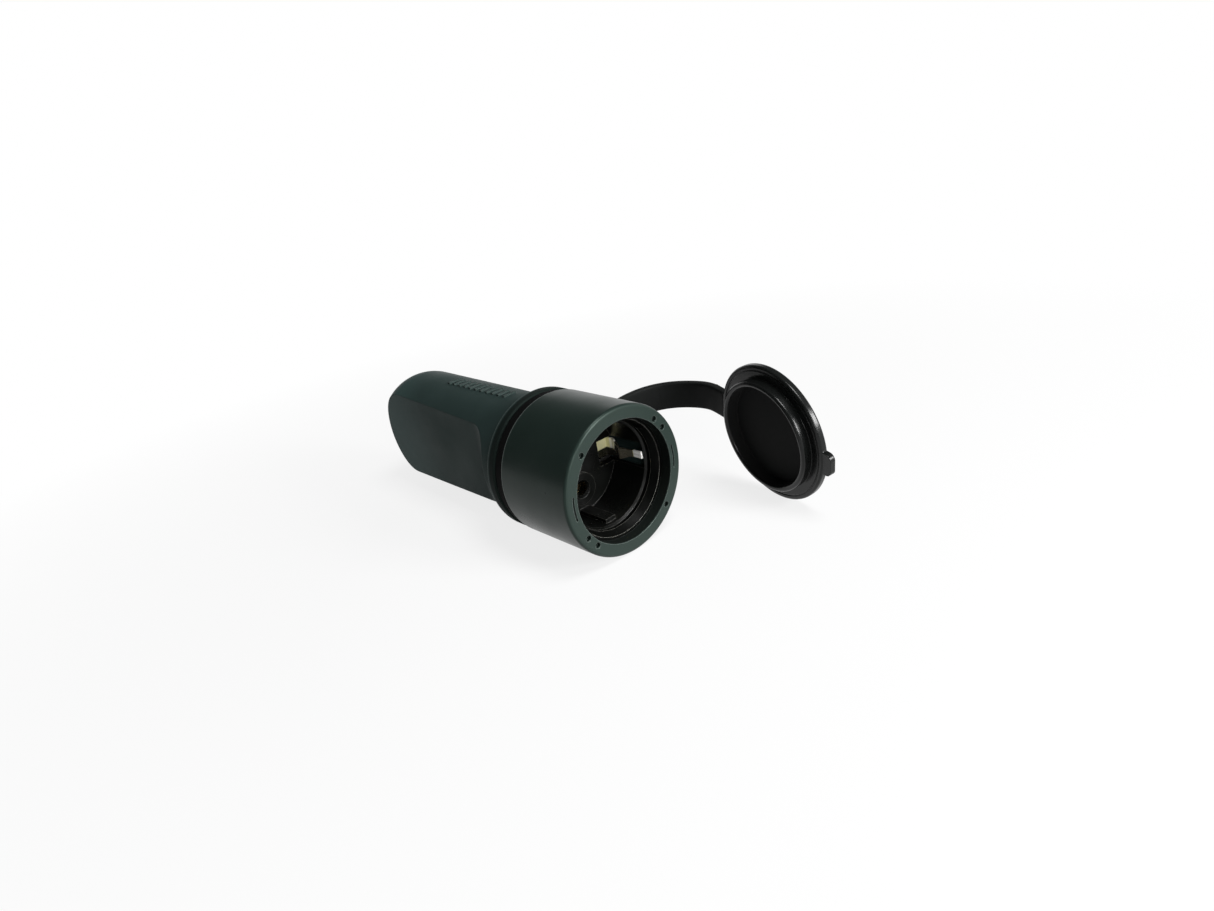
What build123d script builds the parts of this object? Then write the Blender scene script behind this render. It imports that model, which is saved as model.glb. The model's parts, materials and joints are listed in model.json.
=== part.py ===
from build123d import *
import math
import os

# Two-pole and earth cable coupler with a strapped cap, for plugs with 4.8 mm pins.
# Millimetres and degrees. X runs out of the mouth from the centre of its face and Z is up.
# The pins lie one above the other, the earth clips at the sides.
# The opened cap stands on its edge beside the mouth, as low as the collar.

os.makedirs("parts", exist_ok=True)

# Collar round the mouth
collar_r = 28.0
collar_length = 36.7
collar_edge_round = 1.3
collar_rear_round = 0.5
mouth_wall = 5.15
mouth_depth = 4.8
collar_wall = 4.4
face_mark_inset = 3.45
face_hole_r = 1.15
face_hole_depth = 1.6
face_hole_angles = [45.5, -45.5, 58.6]
face_slot_width = 0.7
face_slot_sweep = 20.0
face_slot_depth = 0.8

# Seal inside the mouth
seal_length = 5.0
seal_front_step = 1.15
seal_lip_step = 2.6
seal_lip_x = 3.4
seal_flange = 1.2
seal_fit = 0.1

# Handle with its neck and flange
neck_clearance = 0.2
neck_wall = 1.9
groove_width = 4.8
flange_step = 0.2
flange_length = 4.5
flange_round = 0.8
handle_step = 4.4
handle_swell = 0.4
handle_length = 149.6
dome_length = 20.8
handle_wall = 3.4
flat_front_x = -67.0
flat_grommet_gap = 1.4
flat_taper = 2.5
flat_runout_r = 14.0
grip_bar_count = 11
grip_bar_first_x = -62.0
grip_bar_pitch = 4.0
grip_bar_size = (1.3, 6.0, 0.5)
grip_bar_root = 1.1
lug_count = 3
lug_height = 1.2
lug_length = 3.0
lug_width = 6.0
lug_from_rear = 10.7
lug_clearance = 0.25
lug_turn = 35.0

# Cable entry at the rear
cable_bore_r = 6.0
grommet_wall = 3.2
grommet_length = 6.8
grommet_edge = 0.8
grommet_fit = 0.1
entry_wall = 6.6
entry_cone_slope = 0.7

# Socket insert
insert_rim_length = 3.0
insert_play = 0.3
recess_wall = 1.7
recess_rim_chamfer = 0.7
recess_depth = 17.5
floor_thickness = 3.5
pin_spacing = 19.0
pin_hole_r = 2.9
pin_boss_r = 6.5
pin_boss_height = 1.2
pin_lead_in = 0.8
guide_rib_width = 4.8
guide_rib_height = 1.7
guide_rib_gap = 2.6
clip_window_width = 10.4
clip_window_front = 0.9
clip_slot_depth = 8.0
part_gap = 0.1

# Contacts, earth stirrup and terminals
contact_bore_r = 2.42
contact_wall = 0.8
contact_length = 13.6
contact_web = 0.4
contact_slit = 0.8
contact_solid_end = 1.0
strip_thickness = 0.8
stirrup_width = 7.4
clip_tip_width = 2.8
clip_taper_length = 9.0
clip_foot_play = 1.6
clip_bulge = 3.1
clip_touch_rise = 6.8
clip_tip_length = 4.3
clip_tip_gap = 1.4
terminal_length = 8.0
terminal_width = 8.0
terminal_height = 8.4
terminal_edge = 0.8
terminal_end_wall = 2.0
wire_hole_r = 1.9
screw_shank_r = 1.5
screw_head_r = 2.6
screw_head_height = 1.8
screw_slot = 0.7
screw_fit = 0.1
centre_screw_head_r = 2.8
centre_screw_sink = 1.0
centre_screw_reach = 5.0

# Contact carrier and cord clamp
carrier_play = 0.6
carrier_length = 22.9
pocket_clearance = 0.3
pocket_run_out = 3.0
saddle_reach = 26.0
saddle_cheek = 5.8
saddle_low_gap = 8.2
rail_drop = 5.0
clamp_gap = 3.0
clamp_length = 8.0
clamp_edge = 1.5
clamp_height = 7.5
clamp_bore_r = 5.7
clamp_screw_inset = 2.8
clamp_screw_length = 13.0
clamp_tooth_width = 0.8
clamp_tooth_height = 1.0
clamp_tooth_pitch = 4.0

# Sealing ring in the joint of collar and neck
o_ring_r = 0.55
o_ring_from_lug = 4.0
o_ring_play = 0.05

# Strap and cap
ring_step = 0.7
ring_fit = 0.1
ring_side_gap = 0.3
ring_round = 0.6
strap_width = 11.5
strap_thickness = 2.8
strap_bulge = 12.8
strap_nose_step = 0.15
strap_stations = 9
strap_root_angle = 10.2
strap_root_lean = 1.36
strap_root_length = 9.0
neck_bend_reach = 5.7
cap_bend_reach = 8.5
bend_gap = 0.3
neck_swing = 49.9
cap_swing = 28.1
cap_step = 0.5
cap_thickness = 3.0
cap_edge_round = 0.8
cap_angle = 12.0
cap_seat_gap = 0.3
plug_height = 4.0
plug_clearance = 0.45
plug_wall = 2.0
plug_draft = 0.6
plug_rim_round = 0.9
cap_floor = 1.8
cap_ring_inset = 1.9
cap_ring_width = 0.5
cap_ring_depth = 0.3
tab_width = 9.0
tab_reach = 3.6
tab_root = 2.0
tab_thickness = 2.2
tab_round = 2.4
tab_offset = -2.0

# Radii that follow from the collar's
mouth_r = collar_r - mouth_wall
collar_bore_r = collar_r - collar_wall
face_mark_r = collar_r - face_mark_inset
flange_r = collar_r - flange_step
ring_r = collar_r - ring_step
cap_r = collar_r - cap_step
plug_r = mouth_r - plug_clearance
neck_r = collar_bore_r - neck_clearance
neck_bore_r = neck_r - neck_wall
barrel_r = neck_bore_r - insert_play
recess_r = barrel_r - recess_wall
carrier_r = neck_bore_r - carrier_play
handle_front_r = collar_r - handle_step
handle_r = handle_front_r + handle_swell
space_r = handle_front_r - handle_wall
grommet_r = cable_bore_r + grommet_wall
flat_rear_half = grommet_r + flat_grommet_gap + handle_wall
flat_front_half = flat_rear_half + flat_taper
saddle_half = clamp_bore_r + saddle_cheek
saddle_depth = space_r - saddle_low_gap

# Stations along X that follow from the lengths above
seal_x = -mouth_depth
insert_x = seal_x - seal_length
floor_x = insert_x - recess_depth
insert_back_x = floor_x - floor_thickness
neck_front_x = insert_x - insert_rim_length - neck_clearance
lug_front_x = -(collar_length - lug_from_rear)
o_ring_x = lug_front_x + o_ring_from_lug
flange_x = -collar_length - groove_width
groove_middle_x = (-collar_length + flange_x) / 2
handle_x = flange_x - flange_length
dome_x = -(handle_length - dome_length)
grommet_back_x = -(handle_length - entry_wall)
grommet_front_x = grommet_back_x + grommet_length
carrier_x = insert_back_x - part_gap
carrier_back_x = carrier_x - carrier_length
stirrup_x = carrier_x - part_gap
contact_x = stirrup_x - strip_thickness
terminal_x = contact_x - contact_length - contact_web
terminal_middle_x = terminal_x - terminal_length / 2
saddle_back_x = carrier_back_x - saddle_reach
clamp_x = saddle_back_x + clamp_length / 2 + 1.5
pin_z = pin_spacing / 2
tail_half = 2.6
terminal_top = pin_z + terminal_height / 2
terminal_turns = [0, 180, 90]
clamp_screw_y = saddle_half - clamp_screw_inset
clamp_screw_places = [(clamp_x, clamp_screw_y), (clamp_x, -clamp_screw_y)]
x_axis = Vector(1, 0, 0)


def rod_x(radius, front, back, y=0.0, z=0.0):
    return Pos((front + back) / 2, y, z) * Rot(0, 90, 0) * Cylinder(radius, front - back)


def block(x_range, y_range, z_range):
    low = [min(pair) for pair in (x_range, y_range, z_range)]
    high = [max(pair) for pair in (x_range, y_range, z_range)]
    size = [b - a for a, b in zip(low, high)]
    middle = [(a + b) / 2 for a, b in zip(low, high)]
    return Pos(*middle) * Box(*size)


def turned(*points):
    outline = Polyline(*points, close=True)
    return revolve(make_face(outline), Axis.X, 360)


def circle_edges(part, radius, x):
    rings = part.edges().filter_by(GeomType.CIRCLE)
    return rings.filter_by(lambda e: abs(e.radius - radius) < 0.01 and abs(e.center().X - x) < 0.01)


def mirrored_pair(part, plane):
    return part + mirror(part, about=plane)


def bayonet(clearance):
    # Lugs round the neck; with a clearance they are the room that the collar gives them.
    half = lug_width / 2 + clearance
    front = lug_front_x + clearance
    back = lug_front_x - lug_length - clearance
    lug = block((front, back), (-half, half), (neck_r - 1, neck_r + lug_height + clearance))
    turns = [360 / lug_count * i for i in range(lug_count)]
    return [Rot(turn, 0, 0) * lug for turn in turns]


def make_collar():
    collar = turned(
        (0, mouth_r), (0, collar_r), (-collar_length, collar_r), (-collar_length, collar_bore_r),
        (seal_x, collar_bore_r), (seal_x, mouth_r))
    collar = fillet(circle_edges(collar, collar_r, 0), collar_edge_round)
    collar = fillet(circle_edges(collar, collar_r, -collar_length), collar_rear_round)
    for angle in face_hole_angles:
        for turn in (angle, angle + 180):
            hole = rod_x(face_hole_r, 1, -face_hole_depth, 0, face_mark_r)
            collar -= Rot(-turn, 0, 0) * hole
    for middle in (0, 180):
        arc = CenterArc((0, 0), face_mark_r, middle - face_slot_sweep / 2, face_slot_sweep)
        slot = Plane.YZ * SlotArc(arc, face_slot_width)
        collar -= extrude(slot, -face_slot_depth)
    # The lugs slide in along X and turn into a ring-shaped track.
    half = lug_width / 2 + lug_clearance
    track_r = neck_r + lug_height + lug_clearance
    back = lug_front_x - lug_length - lug_clearance
    track = rod_x(track_r, lug_front_x + lug_clearance, back) - rod_x(collar_bore_r - 1, 0, -collar_length)
    collar -= track
    for i in range(lug_count):
        way_in = block((back, -collar_length - 1), (-half, half), (neck_r - 1, track_r))
        collar -= Rot(360 / lug_count * i + lug_turn, 0, 0) * way_in
    return collar


def make_mouth_seal():
    # A ring with a cone that narrows to a lip, which a plug's collar pushes aside.
    outer = collar_bore_r - seal_fit
    lip_x = seal_x - seal_lip_x
    lip_r = mouth_r - seal_lip_step
    return turned(
        (seal_x, outer), (insert_x, outer), (insert_x, outer - seal_flange), (lip_x, lip_r + 0.4),
        (lip_x, lip_r), (seal_x, mouth_r - seal_front_step))


def flat_cutter(inset):
    # The side flat narrows towards the rear and runs out of the handle in a hollow curve.
    front_half = flat_front_half - inset
    rear_half = flat_rear_half - inset
    rear_x = -handle_length
    outer = collar_r + 5
    exit_y = handle_front_r + 1.2
    exit_angle = math.acos(1 - (exit_y - front_half) / flat_runout_r)
    middle_angle = exit_angle / 2
    start = (flat_front_x, front_half)
    middle = (
        flat_front_x + flat_runout_r * math.sin(middle_angle),
        front_half + flat_runout_r * (1 - math.cos(middle_angle)))
    end = (flat_front_x + flat_runout_r * math.sin(exit_angle), exit_y)
    outline = Line((rear_x, rear_half), start)
    outline += ThreePointArc(start, middle, end)
    outline += Polyline(end, (end[0], outer), (rear_x, outer), (rear_x, rear_half))
    cutter = extrude(make_face(outline), collar_r, both=True)
    return mirrored_pair(cutter, Plane.XZ)


def grip_top(x):
    # Radius of the grip at a place along it: it swells evenly from the flange to the dome.
    return handle_front_r + handle_swell * (handle_x - x) / (handle_x - dome_x)


def make_handle():
    body = rod_x(neck_r, neck_front_x, handle_x)
    body += rod_x(flange_r, flange_x, handle_x)
    # The grip ends in a dome, half an ellipse turned round X.
    start_x = handle_x + 1
    outline = Polyline((dome_x, handle_r), (start_x, handle_front_r), (start_x, 0), (-handle_length, 0))
    outline += EllipticalCenterArc((dome_x, 0), dome_length, handle_r, 90, arc_size=90)
    body += revolve(make_face(outline), Axis.X, 360)
    body = fillet(circle_edges(body, flange_r, flange_x), flange_round)
    body = fillet(circle_edges(body, flange_r, handle_x), flange_round)
    body -= flat_cutter(0)
    bar_length, bar_width, bar_height = grip_bar_size
    for i in range(grip_bar_count):
        x = grip_bar_first_x - grip_bar_pitch * i
        top = grip_top(x) + bar_height
        bar_x = (x - bar_length / 2, x + bar_length / 2)
        body += block(bar_x, (-bar_width / 2, bar_width / 2), (top - bar_height - grip_bar_root, top))
    for lug in bayonet(0):
        body += lug
    groove_half = o_ring_r + o_ring_play
    groove_floor = neck_r - 2 * o_ring_r + neck_clearance - 2 * o_ring_play
    ring_groove = rod_x(neck_r + 1, o_ring_x + groove_half, o_ring_x - groove_half)
    body -= ring_groove - rod_x(groove_floor, 0, -collar_length)
    # Inside are a tube for the insert and carrier, a flat-sided wire space and a cone to the cable entry.
    seat_x = grommet_front_x + grommet_fit
    seat_r = grommet_r + grommet_fit
    cone_x = seat_x + (space_r - seat_r) * entry_cone_slope
    space = turned(
        (handle_x, 0), (handle_x, space_r), (cone_x, space_r), (seat_x, seat_r),
        (grommet_back_x, seat_r), (grommet_back_x, 0))
    body -= space - flat_cutter(handle_wall)
    body -= rod_x(neck_bore_r, neck_front_x + 1, carrier_back_x - pocket_clearance)
    body -= rod_x(cable_bore_r, seat_x, -handle_length - 1)
    return body


def make_grommet():
    return turned(
        (grommet_front_x, cable_bore_r), (grommet_front_x, grommet_r - grommet_edge),
        (grommet_front_x - grommet_edge, grommet_r), (grommet_back_x, grommet_r), (grommet_back_x, cable_bore_r))


def make_insert():
    rim_r = collar_bore_r - seal_fit
    rim_back_x = insert_x - insert_rim_length
    insert = turned(
        (insert_x, recess_r + recess_rim_chamfer), (insert_x, rim_r), (rim_back_x, rim_r),
        (rim_back_x, barrel_r), (insert_back_x, barrel_r), (insert_back_x, 0),
        (floor_x, 0), (floor_x, recess_r), (insert_x - recess_rim_chamfer, recess_r))
    boss_x = floor_x + pin_boss_height
    for z in (pin_z, -pin_z):
        insert += rod_x(pin_boss_r, boss_x, floor_x - 1, 0, z)
        insert -= rod_x(pin_hole_r, boss_x + 1, insert_back_x - 1, 0, z)
        lead_in = Cone(pin_hole_r, pin_hole_r + pin_lead_in, pin_lead_in)
        insert -= Pos(boss_x - pin_lead_in / 2, 0, z) * Rot(0, 90, 0) * lead_in
    rib_x = (floor_x - 0.5, insert_x - guide_rib_gap)
    rib_half = guide_rib_width / 2
    rib = block(rib_x, (-rib_half, rib_half), (recess_r - guide_rib_height, recess_r + recess_wall / 2))
    insert += mirrored_pair(rib, Plane.XY)
    half = clip_window_width / 2
    window_x = (floor_x - 0.5, insert_x - clip_window_front)
    wall_window = block(window_x, (recess_r - guide_rib_height, barrel_r + 1), (-half, half))
    floor_slot = block((floor_x + 1, insert_back_x - 1), (recess_r - clip_slot_depth, barrel_r + 1), (-half, half))
    insert -= mirrored_pair(wall_window + floor_slot, Plane.XZ)
    insert -= rod_x(screw_shank_r + screw_fit, floor_x + 1, insert_back_x - 1)
    seat_x = floor_x - centre_screw_sink - screw_head_height
    insert -= rod_x(centre_screw_head_r + screw_fit, floor_x + 1, seat_x)
    return insert


def slotted_screw(head_r, shank_r, shank_length):
    # The head stands on Z = 0 and the shank goes down from it.
    screw = Pos(0, 0, screw_head_height / 2) * Cylinder(head_r, screw_head_height)
    screw += Pos(0, 0, -shank_length / 2) * Cylinder(shank_r, shank_length)
    slot_depth = screw_head_height / 2
    screw -= Pos(0, 0, screw_head_height) * Box(2 * head_r + 1, screw_slot, 2 * slot_depth)
    return screw


def make_contact(z):
    # A sleeve that is open to the plug's pin and slit on both sides, so that it springs.
    outer = contact_bore_r + contact_wall
    contact = rod_x(outer, contact_x, terminal_x, 0, z)
    contact -= rod_x(contact_bore_r, contact_x + 1, contact_x - contact_length, 0, z)
    slit_x = (contact_x + 1, contact_x - contact_length + contact_solid_end)
    slit = block(slit_x, (-outer - 1, outer + 1), (z - contact_slit / 2, z + contact_slit / 2))
    return contact - slit


def make_terminal():
    # The block for the upper pin: the wire enters from the rear and the screw comes from above.
    half = terminal_width / 2
    back_x = terminal_x - terminal_length
    body = block((terminal_x, back_x), (-half, half), (terminal_top - terminal_height, terminal_top))
    body = fillet(body.edges().filter_by(Axis.X), terminal_edge)
    body -= rod_x(wire_hole_r, terminal_x - terminal_end_wall, back_x - 1, 0, pin_z)
    hole = Cylinder(screw_shank_r + screw_fit, terminal_height)
    return body - Pos(terminal_middle_x, 0, terminal_top) * hole


def make_terminal_screw():
    screw = slotted_screw(screw_head_r, screw_shank_r, terminal_height / 2 - wire_hole_r)
    return Pos(terminal_middle_x, 0, terminal_top + part_gap) * screw


def make_stirrup():
    # One strip bent to a U. Each leg bulges inwards to touch the plug, ends in a flat tip
    # and narrows from the floor of the recess to that tip.
    foot_y = barrel_r - clip_foot_play
    touch_y = recess_r - clip_bulge
    tip_y = recess_r - strip_thickness / 2
    tip_x = insert_x - clip_tip_gap
    path = Polyline(
        (stirrup_x - strip_thickness / 2, foot_y), (floor_x, foot_y), (floor_x + clip_touch_rise, touch_y),
        (tip_x - clip_tip_length, tip_y), (tip_x, tip_y))
    leg = extrude(trace(path, strip_thickness), stirrup_width / 2, both=True)
    wide = stirrup_width / 2
    narrow = clip_tip_width / 2
    taper_x = floor_x + 1.5
    side = Polyline(
        (stirrup_x - 5, wide), (taper_x, wide), (taper_x + clip_taper_length, narrow), (tip_x + 1, narrow),
        (tip_x + 1, -narrow), (taper_x + clip_taper_length, -narrow), (taper_x, -wide), (stirrup_x - 5, -wide),
        close=True)
    leg = leg & extrude(Plane.XZ * make_face(side), collar_r, both=True)
    stirrup = mirrored_pair(leg, Plane.XZ)
    reach = foot_y + strip_thickness / 2
    stirrup += block((stirrup_x, stirrup_x - strip_thickness), (-reach, reach), (-wide, wide))
    tail_y = (-pin_z - strip_thickness / 2, -pin_z + strip_thickness / 2)
    stirrup += block((stirrup_x, terminal_x), tail_y, (-tail_half, tail_half))
    return stirrup - rod_x(screw_shank_r + screw_fit, 0, terminal_x)


def make_carrier():
    carrier = rod_x(carrier_r, carrier_x, carrier_back_x)
    # Two rails run back under the wires to a saddle for the cable.
    rail = block((carrier_back_x + 1, clamp_x), (clamp_bore_r, saddle_half), (-saddle_depth, -rail_drop))
    carrier += mirrored_pair(rail, Plane.XZ)
    saddle_x = (clamp_x + clamp_length / 2 + 1.5, saddle_back_x)
    saddle = block(saddle_x, (-saddle_half, saddle_half), (-saddle_depth, -clamp_gap / 2))
    carrier += saddle - rod_x(clamp_bore_r, 0, -handle_length)
    gap = pocket_clearance
    half = stirrup_width / 2 + gap
    recess_x = (carrier_x + 1, stirrup_x - strip_thickness - part_gap)
    carrier -= block(recess_x, (-carrier_r - 1, carrier_r + 1), (-half, half))
    slot_half = strip_thickness / 2 + gap
    slot_y = (-pin_z - slot_half, -pin_z + slot_half)
    carrier -= block((carrier_x, terminal_x - 1), slot_y, (-tail_half - gap, tail_half + gap))
    for z in (pin_z, -pin_z):
        carrier -= rod_x(contact_bore_r + contact_wall + gap, carrier_x + 1, terminal_x - 1, 0, z)
    half = terminal_width / 2 + gap
    pocket_x = (terminal_x + part_gap, carrier_back_x - pocket_run_out)
    pocket = block(pocket_x, (-half, half), (terminal_top - terminal_height - gap, carrier_r + 1))
    for turn in terminal_turns:
        carrier -= Rot(turn, 0, 0) * pocket
    carrier -= rod_x(screw_shank_r + screw_fit, carrier_x + 1, carrier_x - centre_screw_reach - 1)
    hole_depth = clamp_screw_length - clamp_height - clamp_gap / 2 + 1
    for x, y in clamp_screw_places:
        hole = Cylinder(screw_shank_r + screw_fit, hole_depth + 1)
        carrier -= Pos(x, y, -clamp_gap / 2 - hole_depth / 2 + 0.5) * hole
    return carrier


def make_clamp_bridge():
    length = (clamp_x - clamp_length / 2, clamp_x + clamp_length / 2)
    bridge = block(length, (-saddle_half, saddle_half), (clamp_gap / 2, clamp_height))
    bridge = fillet(bridge.edges().filter_by(Axis.X).group_by(Axis.Z)[-1], clamp_edge)
    bridge -= rod_x(clamp_bore_r, 0, -handle_length)
    for x, y in clamp_screw_places:
        bridge -= Pos(x, y, clamp_height / 2) * Cylinder(screw_shank_r + screw_fit, clamp_height + 2)
    # Two teeth across the cable grip its sheath.
    for side in (-1, 1):
        x = clamp_x + side * clamp_tooth_pitch / 2
        tooth_x = (x - clamp_tooth_width / 2, x + clamp_tooth_width / 2)
        bridge += block(tooth_x, (-3.0, 3.0), (clamp_bore_r - clamp_tooth_height, clamp_bore_r + 0.3))
    return bridge


def make_clamp_screws():
    screw = slotted_screw(screw_head_r, screw_shank_r, clamp_screw_length)
    return [Pos(x, y, clamp_height + part_gap) * screw for x, y in clamp_screw_places]


def make_centre_screw():
    seat_x = floor_x - centre_screw_sink - screw_head_height
    screw = slotted_screw(centre_screw_head_r, screw_shank_r, seat_x - carrier_x + centre_screw_reach)
    return Pos(seat_x, 0, 0) * Rot(0, 90, 0) * screw


def make_o_ring():
    middle_r = neck_r + neck_clearance - o_ring_r - o_ring_play
    return Pos(o_ring_x, 0, 0) * Rot(0, 90, 0) * Torus(middle_r, o_ring_r)


# The strap bends at its root in the groove and again beside the cap.
# Both bends and the cap are set out with the cap shut on the mouth, then swung open.

root_turn = math.radians(strap_root_angle)
lean = math.radians(strap_root_lean)
cap_turn = math.radians(cap_angle)
neck_bend_r = ring_r + neck_bend_reach
cap_bend_r = cap_r + cap_bend_reach
neck_bend = Vector(groove_middle_x, neck_bend_r * math.cos(root_turn), neck_bend_r * math.sin(root_turn))
neck_bend_dir = Vector(0, math.sin(lean), math.cos(lean))
cap_dir = Vector(0, math.cos(cap_turn), math.sin(cap_turn))
cap_bend = cap_dir * cap_bend_r + x_axis * (cap_seat_gap + cap_thickness / 2)
cap_bend_dir = x_axis.cross(cap_dir)


def swing_open(part):
    return part.rotate(Axis(neck_bend, neck_bend_dir), neck_swing)


def swing_cap_open(part):
    return swing_open(part.rotate(Axis(cap_bend, cap_bend_dir), cap_swing))


def make_strap_ring():
    side = ring_side_gap
    ring = rod_x(ring_r, -collar_length - side, flange_x + side)
    ring = fillet(ring.edges(), ring_round)
    # The root is a short bar square to the bend's axis, which ends just short of the bend.
    outward = neck_bend_dir.cross(x_axis)
    reach = strap_thickness / 2 + bend_gap
    middle = neck_bend - outward * (reach + strap_root_length / 2)
    frame = Plane(origin=middle, x_dir=x_axis, z_dir=outward)
    ring += frame * Box(strap_thickness, strap_width, strap_root_length)
    return ring - rod_x(neck_r + ring_fit, 0, handle_x)


def make_strap():
    # A band whose middle bulges outwards as a parabola between its two bends.
    chord = cap_bend - neck_bend
    outward = neck_bend_dir.cross(chord).normalized()
    sections = []
    for i in range(strap_stations):
        t = i / (strap_stations - 1)
        point = neck_bend + chord * t + outward * (4 * strap_bulge * t * (1 - t))
        tangent = (chord + outward * (4 * strap_bulge * (1 - 2 * t))).normalized()
        across = neck_bend_dir * (1 - t) + cap_bend_dir * t
        across = (across - tangent * across.dot(tangent)).normalized()
        sections.append(Plane(origin=point, x_dir=across, z_dir=tangent) * Rectangle(strap_width, strap_thickness))
    band = loft(sections)
    nose_r = strap_thickness / 2 - strap_nose_step
    for centre, axis in ((neck_bend, neck_bend_dir), (cap_bend, cap_bend_dir)):
        band += Plane(origin=centre, z_dir=axis) * Cylinder(nose_r, strap_width - 2 * strap_nose_step)
    return swing_open(band)


def make_cap():
    face_x = cap_seat_gap
    back_x = face_x + cap_thickness
    rim_x = face_x - plug_height
    cap = turned(
        (back_x, 0), (back_x, cap_r), (face_x, cap_r), (face_x, plug_r), (rim_x, plug_r),
        (rim_x, plug_r - plug_wall), (back_x - cap_floor, plug_r - plug_wall - plug_draft), (back_x - cap_floor, 0))
    cap = fillet(circle_edges(cap, cap_r, back_x) + circle_edges(cap, cap_r, face_x), cap_edge_round)
    cap = fillet(circle_edges(cap, plug_r, rim_x) + circle_edges(cap, plug_r - plug_wall, rim_x), plug_rim_round)
    mark_r = cap_r - cap_ring_inset
    ring_mark = rod_x(mark_r + cap_ring_width / 2, face_x + cap_ring_depth, face_x - 1)
    ring_mark -= rod_x(mark_r - cap_ring_width / 2, face_x + 1, face_x - 2)
    cap -= ring_mark
    # The strap's far end stands out of the rim on one side, the pull tab nearly opposite.
    middle_x = face_x + cap_thickness / 2
    end_y = cap_bend_r - strap_thickness / 2 - bend_gap
    half = strap_thickness / 2
    end_x = (middle_x - half, middle_x + half)
    strap_end = block(end_x, (cap_r - tab_root, end_y), (-strap_width / 2, strap_width / 2))
    cap += Rot(cap_angle, 0, 0) * strap_end
    tab_x = (middle_x - tab_thickness / 2, middle_x + tab_thickness / 2)
    tab = block(tab_x, (-cap_r - tab_reach, -cap_r + tab_root), (-tab_width / 2, tab_width / 2))
    corners = tab.edges().filter_by(Axis.X).group_by(Axis.Y)[0]
    tab = fillet(corners, tab_round)
    cap += Rot(cap_angle + tab_offset, 0, 0) * tab
    return swing_cap_open(cap)


def write(name, parts):
    solids = parts if isinstance(parts, list) else [parts]
    shape = solids[0] if len(solids) == 1 else Compound(children=solids)
    export_step(shape, f"parts/{name}.step")


write("socket_collar", make_collar())
write("mouth_seal", make_mouth_seal())
write("grip_handle", make_handle())
write("cable_grommet", make_grommet())
write("socket_insert", make_insert())
write("live_contact", make_contact(pin_z))
write("neutral_contact", make_contact(-pin_z))
write("earth_stirrup", make_stirrup())
write("live_terminal", make_terminal())
write("neutral_terminal", Rot(180, 0, 0) * make_terminal())
write("earth_terminal", Rot(90, 0, 0) * make_terminal())
write("terminal_screws", [Rot(turn, 0, 0) * make_terminal_screw() for turn in terminal_turns])
write("contact_carrier", make_carrier())
write("cord_clamp_bridge", make_clamp_bridge())
write("cord_clamp_screws", make_clamp_screws())
write("centre_screw", make_centre_screw())
write("housing_seal", make_o_ring())
write("strap_ring", make_strap_ring())
write("strap", make_strap())
write("sealing_cap", make_cap())
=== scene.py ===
# Industrial cable coupler: materials, the rubber strap, floor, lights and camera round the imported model.
# Lengths are in metres. +X points out of the mouth, +Z up, and the cap stands on the +Y side.
import json
import bpy
import numpy as np
from mathutils import Matrix, Vector


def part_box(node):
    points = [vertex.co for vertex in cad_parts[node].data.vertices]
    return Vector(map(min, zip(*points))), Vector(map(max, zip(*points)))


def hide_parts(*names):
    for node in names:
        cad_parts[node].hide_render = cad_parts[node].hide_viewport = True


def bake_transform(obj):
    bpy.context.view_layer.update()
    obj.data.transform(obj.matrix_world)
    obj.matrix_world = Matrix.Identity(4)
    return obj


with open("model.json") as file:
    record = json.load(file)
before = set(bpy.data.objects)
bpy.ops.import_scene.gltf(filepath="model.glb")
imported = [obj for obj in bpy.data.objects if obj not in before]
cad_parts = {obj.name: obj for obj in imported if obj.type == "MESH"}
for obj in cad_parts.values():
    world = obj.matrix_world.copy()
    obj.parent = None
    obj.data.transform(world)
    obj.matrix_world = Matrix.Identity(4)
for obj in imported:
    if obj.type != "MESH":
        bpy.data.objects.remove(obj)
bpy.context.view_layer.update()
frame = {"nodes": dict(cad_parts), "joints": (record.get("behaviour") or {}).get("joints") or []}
print("frame loaded:", len(frame["nodes"]), "nodes")

scene = bpy.context.scene
scene.view_settings.view_transform = "Standard"

# Places taken from the frame

mouthCentre = (0.0, 0.0, 0.0)
socketAxis = (1.0, 0.0, 0.0)
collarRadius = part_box("socket_collar")[1].y
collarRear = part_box("socket_collar")[0].x
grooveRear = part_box("strap_ring")[0].x
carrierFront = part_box("contact_carrier")[1].x
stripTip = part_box("earth_stirrup")[1].x
hinges = {joint["name"]: joint for joint in frame["joints"]}


# Shader nodes

class NodeSheet:
    # Short names for adding and joining shader nodes.
    def __init__(self, tree):
        self.tree = tree

    def add(self, kind, **values):
        node = self.tree.nodes.new(kind)
        for key, value in values.items():
            if hasattr(node, key) and key not in node.inputs:
                setattr(node, key, value)
            else:
                node.inputs[key].default_value = value
        return node

    def join(self, source, target):
        self.tree.links.new(source, target)

    def combine(self, operation, first, second):
        # One number from two.
        node = self.add("ShaderNodeMath", operation=operation)
        self.join(first, node.inputs[0])
        self.join(second, node.inputs[1])
        return node.outputs[0]

    def measure(self, operation, first, second=None):
        # A vector set against another, which is a socket or fixed. A length or a dot product is a number.
        node = self.add("ShaderNodeVectorMath", operation=operation)
        self.join(first, node.inputs[0])
        if isinstance(second, tuple):
            node.inputs[1].default_value = second
        elif second is not None:
            self.join(second, node.inputs[1])
        return node.outputs["Value" if operation in ("LENGTH", "DOT_PRODUCT") else "Vector"]

    def mixLooks(self, share, first, second):
        # The first look where the share is 0, and the second where it is 1.
        node = self.add("ShaderNodeMixShader")
        for socket, source in zip(node.inputs, (share, first, second)):
            self.join(source, socket)
        return node.outputs["Shader"]


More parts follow.
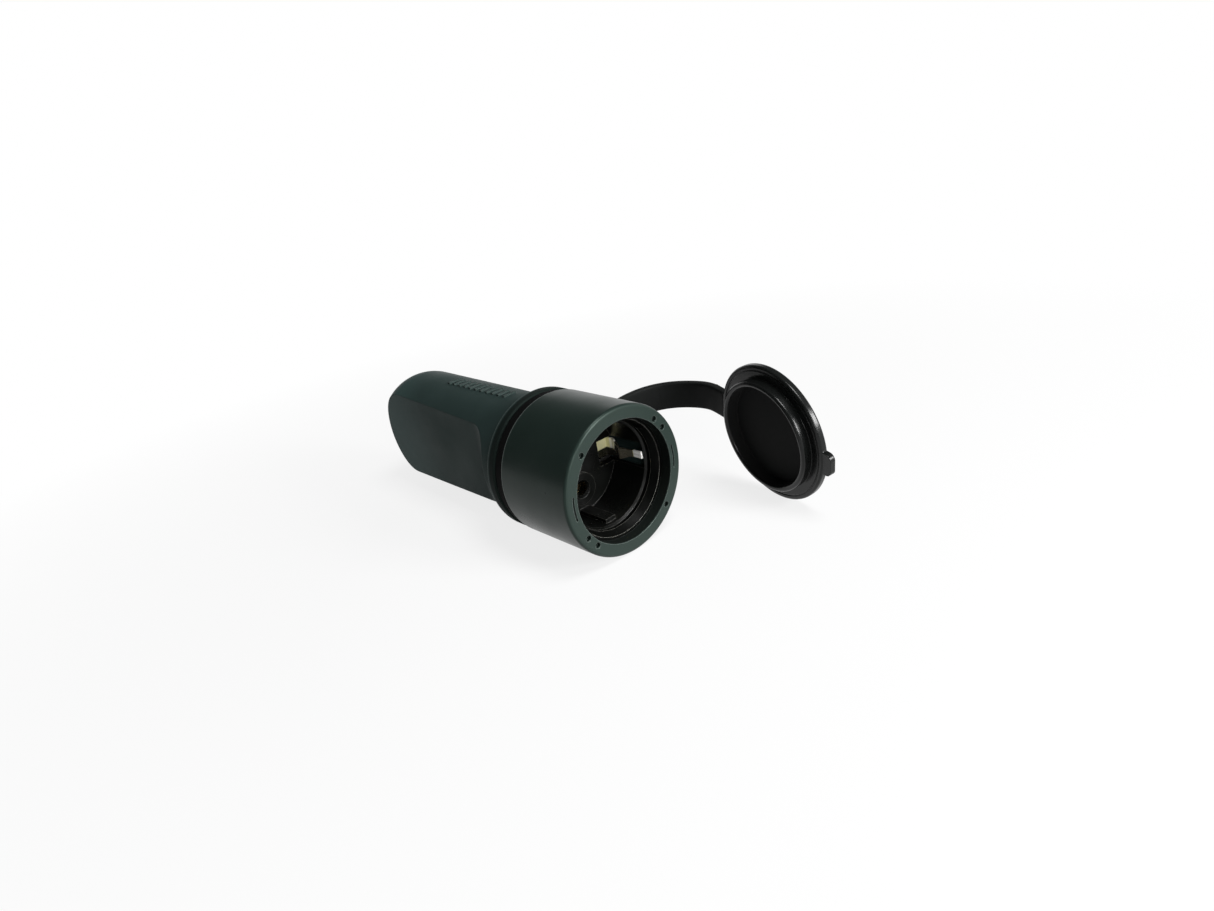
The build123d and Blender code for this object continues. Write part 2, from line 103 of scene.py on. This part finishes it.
def newMaterial(name):
    # A material with nothing in it but its shader and its output.
    material = bpy.data.materials.new(name)
    material.use_nodes = True
    material.node_tree.nodes.clear()
    sheet = NodeSheet(material.node_tree)
    output = sheet.add("ShaderNodeOutputMaterial")
    shader = sheet.add("ShaderNodeBsdfPrincipled")
    sheet.join(shader.outputs["BSDF"], output.inputs["Surface"])
    return material, sheet, shader


def noiseOn(sheet, vector, scale, detail=3.0, roughness=0.55):
    # Soft random values round 0.5. The scale is how many bumps go on a metre.
    noise = sheet.add("ShaderNodeTexNoise", Scale=scale, Detail=detail, Roughness=roughness)
    sheet.join(vector, noise.inputs["Vector"])
    return noise.outputs["Fac"]


def ramp(sheet, value, low, high, fromLow=0.3, fromHigh=0.7):
    # A straight line from low, where the value is fromLow, to high, where it is fromHigh, and level outside
    # them. The noise lies mostly between 0.3 and 0.7.
    mapRange = sheet.add("ShaderNodeMapRange")
    mapRange.inputs["From Min"].default_value = fromLow
    mapRange.inputs["From Max"].default_value = fromHigh
    mapRange.inputs["To Min"].default_value = low
    mapRange.inputs["To Max"].default_value = high
    sheet.join(value, mapRange.inputs["Value"])
    return mapRange.outputs["Result"]


def mixColour(sheet, share, first, second):
    # Each colour is a tone or a socket. A mix node keeps its two colours in inputs 6 and 7.
    mix = sheet.add("ShaderNodeMix", data_type="RGBA")
    sheet.join(share, mix.inputs[0])
    for socket, colour in ((mix.inputs[6], first), (mix.inputs[7], second)):
        if isinstance(colour, tuple):
            socket.default_value = (*colour, 1.0)
        else:
            sheet.join(colour, socket)
    return mix.outputs[2]


def mixNumber(sheet, share, first, second):
    # The first number is a socket, the second is fixed. A mix node keeps its two numbers in inputs 2 and 3.
    mix = sheet.add("ShaderNodeMix", data_type="FLOAT")
    sheet.join(share, mix.inputs[0])
    sheet.join(first, mix.inputs[2])
    mix.inputs[3].default_value = second
    return mix.outputs[0]


def bumpOn(sheet, height, distance, normal=None):
    # The distance is how high a height of 1 stands.
    bump = sheet.add("ShaderNodeBump", Distance=distance)
    sheet.join(height, bump.inputs["Height"])
    if normal is not None:
        sheet.join(normal, bump.inputs["Normal"])
    return bump.outputs["Normal"]


zoneFade = {"side": 0.0001, "low": 0.0002, "high": 0.0004}  # over what distance a zone ends
allRound = 0.30                 # the radius of a zone that is open to the sides


def zoneShare(sheet, position, zone):
    # 1 inside a round zone and 0 outside: the distance from its axis is under its radius, and the height
    # along its axis is between low and high. The axis is the socket's own, unless the zone has another.
    axis = zone.get("axis", socketAxis)
    radius = zone.get("radius", allRound)
    fade = zone.get("fade", zoneFade["high"])
    away = sheet.measure("SUBTRACT", position, zone.get("centre", mouthCentre))
    height = sheet.measure("DOT_PRODUCT", away, axis)
    aside = sheet.measure("LENGTH", sheet.measure("CROSS_PRODUCT", away, axis))
    near = ramp(sheet, aside, 1.0, 0.0, radius - zoneFade["side"], radius)
    over = ramp(sheet, height, 0.0, 1.0, zone["low"], zone["low"] + zoneFade["low"])
    under = ramp(sheet, height, 1.0, 0.0, zone["high"] - fade, zone["high"])
    return sheet.combine("MULTIPLY", sheet.combine("MULTIPLY", near, over), under)


# A painted edge highlight shows where the rounded normal turns away from the face's own: in full where
# their dot product is the first of these, and not at all from the second on.
edgeLook = {"full": 0.75, "gone": 0.98, "samples": 6}


def mouldedMaterial(name, finish):
    # Two tones clouded by noise, gloss varied by a second noise, zones with a painted tone of light or
    # shade and a gloss of their own, edges a little rounder and with a painted highlight paler than the
    # faces, and a slow wave and a fine grain as bump.
    material, sheet, shader = newMaterial(name)
    position = sheet.add("ShaderNodeTexCoord").outputs["Object"]
    bevel = sheet.add("ShaderNodeBevel", samples=edgeLook["samples"], Radius=finish["edgeRadius"])
    rounded = bevel.outputs["Normal"]
    # A painted highlight, paler than the face, goes on the edges.
    turn = sheet.measure("DOT_PRODUCT", rounded, sheet.add("ShaderNodeNewGeometry").outputs["Normal"])
    edge = ramp(sheet, turn, finish["edgeHighlightShare"], 0.0, fromLow=edgeLook["full"], fromHigh=edgeLook["gone"])
    cloud = noiseOn(sheet, position, finish["cloudScale"], detail=4.0)
    colour = mixColour(sheet, ramp(sheet, cloud, 0.0, 1.0), finish["toneDark"], finish["toneLight"])
    smear = noiseOn(sheet, position, finish["smearScale"], roughness=0.5)
    rough = ramp(sheet, smear, finish["roughLow"], finish["roughHigh"])
    # Each zone paints light or shade into the colour, and sets its own gloss.
    for zone in finish.get("paintedLightAndShadeZones", []):
        inside = zoneShare(sheet, position, zone)
        colour = mixColour(sheet, inside, colour, zone["tone"])
        rough = mixNumber(sheet, inside, rough, zone["rough"])
    sheet.join(mixColour(sheet, edge, colour, finish["edgeHighlightTone"]), shader.inputs["Base Color"])
    sheet.join(rough, shader.inputs["Roughness"])
    wave = noiseOn(sheet, position, finish["waveScale"], detail=2.0)
    grain = noiseOn(sheet, position, finish["grainScale"], detail=2.0)
    smooth = bumpOn(sheet, wave, finish["waveHeight"], rounded)
    sheet.join(bumpOn(sheet, grain, finish["grainHeight"], smooth), shader.inputs["Normal"])
    shader.inputs["Specular IOR Level"].default_value = finish["specular"]
    shader.inputs["Specular Tint"].default_value = (*finish.get("tint", (1.0, 1.0, 1.0)), 1.0)
    return material


def metalMaterial(name, finish):
    # Two tones clouded by noise, zones with a painted tone of light or shade, and fine drawn lines in gloss
    # and bump: a noise stretched along one direction.
    material, sheet, shader = newMaterial(name)
    position = sheet.add("ShaderNodeTexCoord").outputs["Object"]
    cloud = noiseOn(sheet, position, finish["cloudScale"], detail=4.0)
    colour = mixColour(sheet, ramp(sheet, cloud, 0.0, 1.0), finish["toneDark"], finish["toneLight"])
    # Each zone paints light or shade into the colour.
    for zone in finish.get("paintedLightAndShadeZones", []):
        colour = mixColour(sheet, zoneShare(sheet, position, zone), colour, zone["tone"])
    sheet.join(colour, shader.inputs["Base Color"])
    stretch = sheet.add("ShaderNodeMapping", Scale=finish["brushScale"])
    sheet.join(position, stretch.inputs["Vector"])
    lines = noiseOn(sheet, stretch.outputs["Vector"], 1.0, detail=4.0)
    sheet.join(ramp(sheet, lines, finish["roughLow"], finish["roughHigh"]), shader.inputs["Roughness"])
    sheet.join(bumpOn(sheet, lines, finish["brushHeight"]), shader.inputs["Normal"])
    shader.inputs["Metallic"].default_value = finish["metallic"]
    return material


def paint(thing, material):
    # Puts the material in every slot of a piece.
    slots = thing.data.materials
    if len(slots) == 0:
        slots.append(material)
    for i in range(len(slots)):
        slots[i] = material


# The collar's smooth green-black rubber

collarFinish = {
    "toneDark": (0.0078, 0.0136, 0.0116),
    "toneLight": (0.0120, 0.0192, 0.0166),
    "cloudScale": 22.0,         # broad variation of tone
    "roughLow": 0.27,
    "roughHigh": 0.37,
    "smearScale": 60.0,         # handling marks that change the gloss
    "grainScale": 2600.0,       # fine moulded texture
    "grainHeight": 0.000012,
    "waveScale": 70.0,          # slight unevenness of the moulded faces
    "waveHeight": 0.00008,
    "edgeRadius": 0.0005,
    "edgeHighlightTone": (0.105, 0.124, 0.116),
    "edgeHighlightShare": 0.85,          # how much of the painted edge highlight shows on a sharp edge
    "specular": 0.16,
    "tint": (0.80, 1.0, 0.90),
    "paintedLightAndShadeZones": [
        {   # painted shade on the wall inside the mouth: darker, and duller in gloss
            "radius": 0.0230,
            "low": -0.04,
            "high": -0.0001,
            "tone": (0.0035, 0.0045, 0.0040),
            "rough": 0.55,
        },
        {   # painted light on the ring round the mouth: paler
            "radius": 0.0275,
            "low": -0.0006,
            "high": 0.0100,
            "tone": (0.0178, 0.0264, 0.0230),
            "rough": 0.30,
        },
        {   # a painted highlight along the edge by the groove
            "low": collarRear + 0.0001,
            "high": collarRear + 0.0009,
            "tone": (0.075, 0.090, 0.084),
            "rough": 0.40,
        },
    ],
}
collarRubber = mouldedMaterial("collarRubber", collarFinish)


# The handle's duller rubber

handleFinish = {
    "toneDark": (0.0158, 0.0262, 0.0246),
    "toneLight": (0.0234, 0.0370, 0.0352),
    "cloudScale": 18.0,
    "roughLow": 0.42,
    "roughHigh": 0.56,
    "smearScale": 50.0,
    "grainScale": 2200.0,
    "grainHeight": 0.000025,
    "waveScale": 60.0,
    "waveHeight": 0.00012,
    "edgeRadius": 0.0006,
    "edgeHighlightTone": (0.065, 0.078, 0.074),
    "edgeHighlightShare": 0.6,
    "specular": 0.05,
    "tint": (0.80, 1.0, 0.92),
    "paintedLightAndShadeZones": [
        {   # painted shade on the flange beside the groove: darker
            "low": grooveRear - 0.0034,
            "high": grooveRear + 0.0012,
            "tone": (0.0055, 0.0085, 0.0075),
            "rough": 0.62,
        },
        {   # a painted highlight along the flange's rear edge
            "low": grooveRear - 0.0047,
            "high": grooveRear - 0.0038,
            "tone": (0.060, 0.072, 0.067),
            "rough": 0.50,
        },
        {   # painted light on the rear end: slowly paler towards it, and most on the near side
            "axis": (0.80, 0.50, 0.33),
            "low": -0.30,
            "high": -0.0900,
            "fade": 0.026,
            "tone": (0.0370, 0.0620, 0.0595),
            "rough": 0.48,
        },
    ],
}
handleRubber = mouldedMaterial("handleRubber", handleFinish)


# The cap's glossier black rubber

capFinish = {
    "toneDark": (0.0030, 0.0035, 0.0033),
    "toneLight": (0.0060, 0.0068, 0.0065),
    "cloudScale": 30.0,
    "roughLow": 0.17,
    "roughHigh": 0.27,
    "smearScale": 80.0,
    "grainScale": 3200.0,
    "grainHeight": 0.000012,
    "waveScale": 90.0,
    "waveHeight": 0.00008,
    "edgeRadius": 0.0004,
    "edgeHighlightTone": (0.020, 0.022, 0.021),
    "edgeHighlightShare": 0.6,
    "specular": 0.24,
    "paintedLightAndShadeZones": [
        {   # painted shade in the dish inside the rim: darker, and duller in gloss, from the cap's middle along the way that it faces
            "centre": (0.01941, 0.05697, -0.00053),
            "axis": (-0.21766, -0.97225, -0.08578),
            "radius": 0.0206,
            "low": -0.002,
            "high": 0.0034,
            "tone": (0.0010, 0.0012, 0.0011),
            "rough": 0.85,
        },
    ],
}
capRubber = mouldedMaterial("capRubber", capFinish)


# The strap, and its ring in the groove

strapFinish = {
    "toneDark": (0.0026, 0.0031, 0.0029),
    "toneLight": (0.0050, 0.0058, 0.0055),
    "cloudScale": 60.0,
    "roughLow": 0.55,
    "roughHigh": 0.70,
    "smearScale": 120.0,
    "grainScale": 2800.0,
    "grainHeight": 0.000015,
    "waveScale": 120.0,
    "waveHeight": 0.00008,
    "edgeRadius": 0.0003,
    "edgeHighlightTone": (0.020, 0.022, 0.021),
    "edgeHighlightShare": 0.5,
    "specular": 0.12,
}
strapRubber = mouldedMaterial("strapRubber", strapFinish)

# The ring is black rubber with painted shade from the groove: far darker and duller than the strap.
shadedBandFinish = {
    "toneDark": (0.0010, 0.0011, 0.0011),
    "toneLight": (0.0020, 0.0022, 0.0021),
    "cloudScale": 60.0,
    "roughLow": 0.75,
    "roughHigh": 0.88,
    "smearScale": 120.0,
    "grainScale": 3200.0,
    "grainHeight": 0.00002,
    "waveScale": 90.0,
    "waveHeight": 0.00004,
    "edgeRadius": 0.0003,
    "edgeHighlightTone": (0.005, 0.0055, 0.0055),
    "edgeHighlightShare": 0.4,
    "specular": 0.08,
}
shadedBandRubber = mouldedMaterial("shadedBandRubber", shadedBandFinish)


# The seals, with a painted highlight along their lips

sealFinish = {
    "toneDark": (0.0012, 0.0014, 0.0012),
    "toneLight": (0.0024, 0.0027, 0.0024),
    "cloudScale": 60.0,
    "roughLow": 0.24,
    "roughHigh": 0.38,
    "smearScale": 120.0,
    "grainScale": 4000.0,
    "grainHeight": 0.00001,
    "waveScale": 150.0,
    "waveHeight": 0.00004,
    "edgeRadius": 0.0003,
    "edgeHighlightTone": (0.28, 0.28, 0.25),
    "edgeHighlightShare": 0.85,
    "specular": 0.14,
}
sealRubber = mouldedMaterial("sealRubber", sealFinish)


# The black insert and the cream carrier behind it

insertFinish = {
    "toneDark": (0.0012, 0.0014, 0.0012),
    "toneLight": (0.0026, 0.0029, 0.0025),
    "cloudScale": 40.0,
    "roughLow": 0.24,
    "roughHigh": 0.38,
    "smearScale": 140.0,
    "grainScale": 5000.0,
    "grainHeight": 0.000006,
    "waveScale": 120.0,
    "waveHeight": 0.00004,
    "edgeRadius": 0.0003,
    # painted glints along the edges in the recess
    "edgeHighlightTone": (0.10, 0.10, 0.09),
    "edgeHighlightShare": 0.8,
    "specular": 0.2,
}
insertPlastic = mouldedMaterial("insertPlastic", insertFinish)

carrierFinish = {
    "toneDark": (0.50, 0.46, 0.36),
    "toneLight": (0.62, 0.58, 0.48),
    "cloudScale": 35.0,
    "roughLow": 0.45,
    "roughHigh": 0.6,
    "smearScale": 120.0,
    "grainScale": 3500.0,
    "grainHeight": 0.00001,
    "waveScale": 120.0,
    "waveHeight": 0.00004,
    "edgeRadius": 0.0003,
    "edgeHighlightTone": (0.7, 0.66, 0.56),
    "edgeHighlightShare": 0.5,
    "specular": 0.5,
    "paintedLightAndShadeZones": [
        {   # painted shade on its front, which shows through the slots of the recess
            "low": carrierFront - 0.0071,
            "high": carrierFront + 0.0109,
            "tone": (0.0100, 0.0098, 0.0085),
            "rough": 0.60,
        },
    ],
}
carrierPlastic = mouldedMaterial("carrierPlastic", carrierFinish)


# The metal pieces

brassFinish = {
    "toneDark": (0.52, 0.36, 0.14),
    "toneLight": (0.72, 0.55, 0.27),
    "cloudScale": 90.0,
    "roughLow": 0.26,
    "roughHigh": 0.40,
    "brushScale": (60.0, 900.0, 900.0),     # along x, y and z: the lines run along the smallest
    "brushHeight": 0.0000004,
    "metallic": 1.0,
}
brass = metalMaterial("brass", brassFinish)

stripFinish = {
    "toneDark": (0.78, 0.74, 0.40),
    "toneLight": (0.92, 0.89, 0.56),
    "cloudScale": 70.0,
    "roughLow": 0.22,
    "roughHigh": 0.30,
    "brushScale": (80.0, 500.0, 500.0),
    "brushHeight": 0.00000005,
    "metallic": 0.15,
    "paintedLightAndShadeZones": [
        {   # painted shade between the crest and the tip: darker
            "low": stripTip - 0.0136,
            "high": stripTip - 0.0040,
            "tone": (0.055, 0.050, 0.036),
        },
        {   # a painted highlight on the crest, the part that the plug touches
            "low": stripTip - 0.0178,
            "high": stripTip - 0.0132,
            "tone": (1.0, 0.98, 0.92),
        },
        {   # a painted highlight at the tip as well
            "low": stripTip - 0.0042,
            "high": 0.0,
            "tone": (1.0, 0.99, 0.95),
        },
        {   # painted shade at the foot of each leg, in its lower half
            "centre": (-0.0340, 0.0, 0.0),
            "axis": (0.0, 0.0, 1.0),
            "radius": 0.0212,
            "low": -0.0060,
            "high": -0.0003,
            "tone": (0.020, 0.019, 0.012),
        },
    ],
}
platedStrip = metalMaterial("platedStrip", stripFinish)

screwFinish = {
    "toneDark": (0.48, 0.48, 0.47),
    "toneLight": (0.66, 0.66, 0.64),
    "cloudScale": 160.0,
    "roughLow": 0.25,
    "roughHigh": 0.42,
    "brushScale": (900.0, 900.0, 200.0),
    "brushHeight": 0.0000004,
    "metallic": 1.0,
}
platedSteel = metalMaterial("platedSteel", screwFinish)

# The centre screw: the same plated steel with painted shade, much darker and a little rougher.
shadedScrewFinish = {
    **screwFinish,
    "toneDark": (0.030, 0.030, 0.030),
    "toneLight": (0.055, 0.055, 0.053),
    "roughLow": 0.35,
    "roughHigh": 0.5,
}
shadedSteel = metalMaterial("shadedSteel", shadedScrewFinish)


# Which node has which material

nodeFinish = {
    "socket_collar": collarRubber,
    "grip_handle": handleRubber,
    "sealing_cap": capRubber,
    "strap_ring": shadedBandRubber,
    "mouth_seal": sealRubber,
    "housing_seal": sealRubber,
    "cable_grommet": sealRubber,
    "socket_insert": insertPlastic,
    "contact_carrier": carrierPlastic,
    "cord_clamp_bridge": carrierPlastic,
    "live_contact": brass,
    "neutral_contact": brass,
    "live_terminal": brass,
    "neutral_terminal": brass,
    "earth_terminal": brass,
    "earth_stirrup": platedStrip,
    "terminal_screws": platedSteel,
    "cord_clamp_screws": platedSteel,
    "centre_screw": shadedSteel,
}
for node, material in nodeFinish.items():
    paint(frame["nodes"][node], material)
print("materials set on", len(nodeFinish), "nodes")


# The strap between the collar's groove and the cap

strapBand = {
    "neckPoint": np.array(hinges["neck_bend"]["pos_m"]),
    "neckAxis": np.array(hinges["neck_bend"]["axis"]),
    "capPoint": np.array(hinges["cap_bend"]["pos_m"]),
    "capAxis": np.array(hinges["cap_bend"]["axis"]),
    "rootWay": np.cross(hinges["neck_bend"]["axis"], socketAxis),   # straight out of the ring
    "capWay": np.array((0.9599, -0.1973, -0.1992)),                 # from the cap's hinge into the cap
    "rootLength": 0.0068,
    "capLength": 0.0090,
    "bulge": 0.0128,            # how far the arch stands out from the line between the hinges
    "width": 0.0117,
    "thickness": 0.0030,
    "corner": 7.0,              # the higher, the squarer the band's section
    "softening": 0.0034,        # how far the bends are eased along the band
    "flare": 0.05,              # how much wider and thicker the band is at both ends
    "flareLength": 0.0060,      # how fast that falls off
    "rootFlareAt": 0.0045,      # where it starts to, measured from the root's end
    "capFlareAt": 0.0065,       # and from the cap's
    "heldReach": 0.0042,        # how far each bend reaches towards its held end
    "freeReach": 0.0085,        # and how far along the arch
    "archPoints": 121,
    "endPoints": 30,
    "linePoints": 601,          # of the eased line
    "easePoints": 200,          # how many neighbours on each side count in the easing
    "overlap": 2,               # how many points of the line each half goes past the middle
    "steps": 150,               # stations of each half
    "round": 40,                # points round each station
}


def easedLine(points, band):
    # Points evenly spaced along the line, each moved to the mean of its neighbours under a bell curve,
    # e^(-(distance / softening)^2 / 2). Past each end the line goes on as its own half turn, which keeps
    # the end where it is.
    reach = band["easePoints"]
    steps = np.linalg.norm(np.diff(points, axis=0), axis=1)
    along = np.concatenate([[0.0], np.cumsum(steps)])
    even = np.linspace(0.0, along[-1], band["linePoints"])
    dense = np.stack([np.interp(even, along, points[:, k]) for k in range(3)], axis=1)
    before = 2 * dense[0] - dense[1:reach + 1][::-1]
    after = 2 * dense[-1] - dense[-reach - 1:-1][::-1]
    padded = np.concatenate([before, dense, after])
    offsets = np.arange(-reach, reach + 1) * (even[1] - even[0])
    weights = np.exp(-0.5 * (offsets / band["softening"]) ** 2)
    weights /= weights.sum()
    eased = np.stack([np.convolve(padded[:, k], weights, mode="valid") for k in range(3)], axis=1)
    return eased, even


def bandMesh(name, centre, across, facing, width, thickness, band):
    # Round each point of the line goes a squared oval: half the width times |cos|^(2 / corner) across, and
    # half the thickness times |sin|^(2 / corner) along the facing side, each with its own sign.
    count = band["round"]
    rows = len(centre)
    angle = np.linspace(0.0, 2 * np.pi, count, endpoint=False)
    c, s = np.cos(angle), np.sin(angle)
    ovalX = np.sign(c) * np.abs(c) ** (2 / band["corner"])
    ovalY = np.sign(s) * np.abs(s) ** (2 / band["corner"])
    grid = (centre[:, None, :]
            + across[:, None, :] * (width[:, None] / 2 * ovalX)[:, :, None]
            + facing[:, None, :] * (thickness[:, None] / 2 * ovalY)[:, :, None])
    vertices = np.concatenate([grid.reshape(-1, 3), centre[:1], centre[-1:]])
    i, j = np.meshgrid(np.arange(rows - 1), np.arange(count), indexing="ij")
    here, there = i * count, (i + 1) * count
    k = (j + 1) % count
    quads = np.stack([here + j, here + k, there + k, there + j], axis=-1).reshape(-1, 4)
    ring = np.arange(count)
    nextRing = (ring + 1) % count
    last = (rows - 1) * count
    startCap = np.stack([nextRing, ring, np.full(count, rows * count)], axis=1)
    endCap = np.stack([last + ring, last + nextRing, np.full(count, rows * count + 1)], axis=1)
    mesh = bpy.data.meshes.new(name)
    mesh.from_pydata(vertices.tolist(), [], quads.tolist() + startCap.tolist() + endCap.tolist())
    mesh.polygons.foreach_set("use_smooth", np.ones(len(mesh.polygons), bool))
    mesh.update()
    piece = bpy.data.objects.new(name, mesh)
    scene.collection.objects.link(piece)
    return piece


def makeStrap(band):
    # The line runs straight out of the ring, over an arch that stands bulge times 4 t (1 - t) outside the
    # chord between the hinges, and straight into the cap. The band's width turns evenly from one hinge's
    # axis to the other's, and both ends flare by e^(-distance / flareLength).
    neck, cap = band["neckPoint"], band["capPoint"]
    chord = cap - neck
    outward = np.cross(band["neckAxis"], chord)
    outward /= np.linalg.norm(outward)
    t = np.linspace(0.0, 1.0, band["archPoints"])[:, None]
    arch = neck + chord * t + outward * (4 * band["bulge"] * t * (1 - t))
    before = np.linspace(band["rootLength"], 0.0, band["endPoints"], endpoint=False)[:, None]
    beyond = np.linspace(band["capLength"], 0.0, band["endPoints"], endpoint=False)[::-1][:, None]
    root = neck - band["rootWay"] * before
    into = cap + band["capWay"] * beyond
    line, along = easedLine(np.concatenate([root, arch, into]), band)
    total = along[-1]
    free = total - band["rootLength"] - band["capLength"]
    share = np.clip((along - band["rootLength"]) / free, 0.0, 1.0)[:, None]
    tangent = np.gradient(line, along, axis=0)
    tangent /= np.linalg.norm(tangent, axis=1)[:, None]
    across = band["neckAxis"] * (1 - share) + band["capAxis"] * share
    across -= tangent * np.sum(across * tangent, axis=1)[:, None]
    across /= np.linalg.norm(across, axis=1)[:, None]
    facing = np.cross(tangent, across)
    fromRoot = np.exp(-((along - band["rootFlareAt"]) / band["flareLength"]).clip(0, None))
    fromCap = np.exp(-((total - band["capFlareAt"] - along) / band["flareLength"]).clip(0, None))
    grow = 1 + band["flare"] * (fromRoot + fromCap)
    every = np.arange(len(line))
    middle = len(line) // 2
    overlap = band["overlap"]
    parts = {"strap_root_half": every[:middle + overlap], "strap_cap_half": every[middle - overlap:]}
    halves = []
    for name, part in parts.items():
        keep = part[np.linspace(0, len(part) - 1, band["steps"]).round().astype(int)]
        width, thickness = band["width"] * grow[keep], band["thickness"] * grow[keep]
        halves.append(bandMesh(name, line[keep], across[keep], facing[keep], width, thickness, band))
    return halves


rootHalf, capHalf = makeStrap(strapBand)
for half in (rootHalf, capHalf):
    paint(half, strapRubber)
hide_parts("strap")
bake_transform(rootHalf)
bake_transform(capHalf)
print("strap made:", len(rootHalf.data.vertices) + len(capHalf.data.vertices), "vertices")


# The floor and the backdrop

def backdropRays(sheet):
    # 1 for the rays that show the backdrop itself: the camera's, and those reflected or let through.
    paths = sheet.add("ShaderNodeLightPath").outputs
    seen = sheet.combine("MAXIMUM", paths["Is Camera Ray"], paths["Is Glossy Ray"])
    return sheet.combine("MAXIMUM", seen, paths["Is Transmission Ray"])


floorLook = {
    "size": 6.0,
    "height": -collarRadius,    # the collar stands on it
    "tone": (0.60, 0.60, 0.60),
    "rough": 0.8,
    "specular": 0.1,
    "whiteShare": 0.80,         # how much of the look is plain white backdrop, near the coupler
    "whiteFrom": 0.12,          # further out than this the white share grows
    "whiteTo": 0.40,            # and here it is whole
}


def makeFloor(look):
    # One flat square. The rays that show the backdrop see it white, with a share left for the shadow.
    half, z = look["size"] / 2, look["height"]
    corners = [(-half, -half, z), (half, -half, z), (half, half, z), (-half, half, z)]
    mesh = bpy.data.meshes.new("floor")
    mesh.from_pydata(corners, [], [(0, 1, 2, 3)])
    floor = bpy.data.objects.new("floor", mesh)
    scene.collection.objects.link(floor)
    material, sheet, shader = newMaterial("paleFloor")
    shader.inputs["Base Color"].default_value = (*look["tone"], 1.0)
    shader.inputs["Roughness"].default_value = look["rough"]
    shader.inputs["Specular IOR Level"].default_value = look["specular"]
    white = sheet.add("ShaderNodeEmission", Strength=1.0)
    away = sheet.measure("LENGTH", sheet.add("ShaderNodeTexCoord").outputs["Object"])
    whiteness = ramp(sheet, away, look["whiteShare"], 1.0, look["whiteFrom"], look["whiteTo"])
    share = sheet.combine("MULTIPLY", backdropRays(sheet), whiteness)
    surface = shader.outputs["BSDF"].links[0].to_socket
    sheet.join(sheet.mixLooks(share, shader.outputs["BSDF"], white.outputs["Emission"]), surface)
    mesh.materials.append(material)


makeFloor(floorLook)


# The room

roomLook = {
    "light": 0.070,             # the studio round the backdrop
    "rise": (0.0, -0.45, 1.0),  # the backdrop reaches higher on the cap's side
    "low": 0.08,                # how high it starts to fade in reflections, as a sine
    "high": 0.19,               # and where it is gone
}


def makeWorld(look):
    # A dim studio whose backdrop is white: all of it to the camera, and its lower band in reflections. The
    # height in that band is the ray's direction times the rise.
    world = bpy.data.worlds.new("paleRoom")
    scene.world = world
    world.use_nodes = True
    world.node_tree.nodes.clear()
    sheet = NodeSheet(world.node_tree)
    output = sheet.add("ShaderNodeOutputWorld")
    light = sheet.add("ShaderNodeBackground", Color=(1.0, 1.0, 1.0, 1.0), Strength=look["light"])
    white = sheet.add("ShaderNodeBackground", Color=(1.0, 1.0, 1.0, 1.0), Strength=1.0)
    direction = sheet.add("ShaderNodeTexCoord").outputs["Generated"]
    height = sheet.measure("DOT_PRODUCT", direction, look["rise"])
    band = ramp(sheet, height, 1.0, 0.0, look["low"], look["high"])
    reflected = sheet.combine("MULTIPLY", backdropRays(sheet), band)
    seen = sheet.combine("MAXIMUM", sheet.add("ShaderNodeLightPath").outputs["Is Camera Ray"], reflected)
    shown = sheet.mixLooks(seen, light.outputs["Background"], white.outputs["Background"])
    sheet.join(shown, output.inputs["Surface"])


makeWorld(roomLook)


# The lamps, round and soft, all turned to the mouth

lamps = [
    {"name": "topLight", "place": (0.38, 0.08, 0.95), "size": 0.42, "power": 10.0},
    {"name": "frontLight", "place": (0.90, 0.30, 0.35), "size": 0.36, "power": 12.5},
    {"name": "mouthLight", "place": (0.90, -0.36, 0.30), "size": 0.30, "power": 3.2},
]


def makeLamp(lamp):
    # A round lamp whose face looks at the mouth.
    data = bpy.data.lights.new(lamp["name"], "AREA")
    data.shape = "DISK"
    data.size = lamp["size"]
    data.energy = lamp["power"]
    piece = bpy.data.objects.new(lamp["name"], data)
    place = Vector(lamp["place"])
    piece.location = place
    piece.rotation_mode = "QUATERNION"
    piece.rotation_quaternion = (Vector(mouthCentre) - place).to_track_quat("-Z", "Y")
    scene.collection.objects.link(piece)


for lamp in lamps:
    makeLamp(lamp)


# The camera, in the photo's place

cameraView = {
    "place": (0.19804, -0.16805, 0.12179),
    "right": (0.67456, 0.7211, -0.15807),   # the picture's right
    "up": (-0.1909, 0.37723, 0.90623),      # and its top
    "lens": 24.08,                          # in millimetres, as the sensor's width
    "sensorWidth": 36.0,
    "nearest": 0.01,
}


def makeCamera(view):
    # A camera looks along its own -Z, so the third direction points back from the picture.
    data = bpy.data.cameras.new("camera")
    data.lens = view["lens"]
    data.sensor_width = view["sensorWidth"]
    data.clip_start = view["nearest"]
    camera = bpy.data.objects.new("camera", data)
    right, up = Vector(view["right"]).normalized(), Vector(view["up"]).normalized()
    back = right.cross(up)
    turned = Matrix((right, up, back)).transposed().to_4x4()
    camera.matrix_world = Matrix.Translation(view["place"]) @ turned
    scene.collection.objects.link(camera)
    scene.camera = camera


makeCamera(cameraView)
print("stage made:", len(lamps), "lamps")
